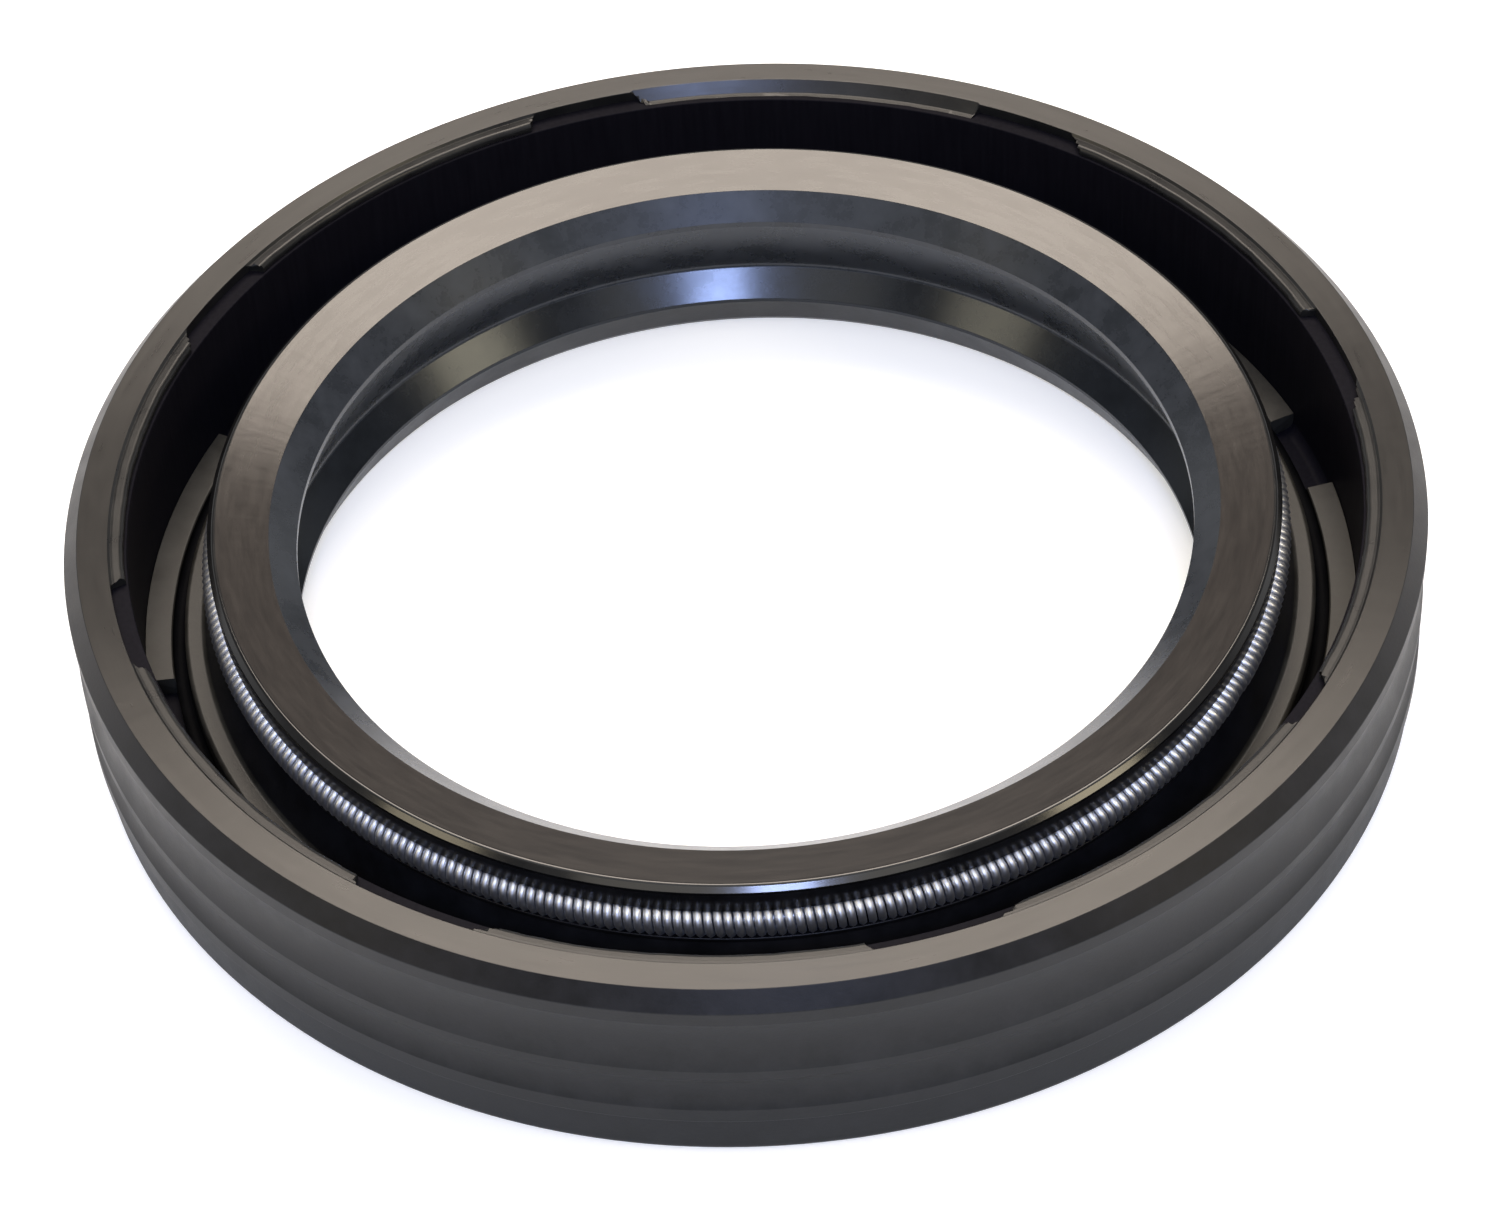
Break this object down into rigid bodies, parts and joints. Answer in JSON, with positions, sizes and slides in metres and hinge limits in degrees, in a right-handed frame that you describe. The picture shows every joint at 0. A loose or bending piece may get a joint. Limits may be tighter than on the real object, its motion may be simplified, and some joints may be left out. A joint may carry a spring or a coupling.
{
  "type": "radial shaft seal",
  "caption": "Rubber covered radial shaft seal with ribbed outer cover, garter spring sealing lip and dust lip, pressed in a housing bore round a turning shaft.",
  "frame": {"origin": "centre of the bore on the air side face, which is the face the seal rests on", "axes": "+Z along the shaft's axis towards the oil side, where the garter spring shows; +X to one side, with the first slot of the moulding tool 13.5 degrees round from it"},
  "size_m": [0.062, 0.062, 0.01],
  "materials": {
    "rubber_body": "satin moulded nitrile rubber, with knife trimmed flat faces",
    "steel_case": "glossy black bonding primer on stamped steel",
    "garter_spring": "bright drawn spring wire"
  },
  "bodies": {
    "root": {"rubber_body": "rubber_body", "steel_case": "steel_case", "garter_spring": "garter_spring"}
  },
  "joints": []
}
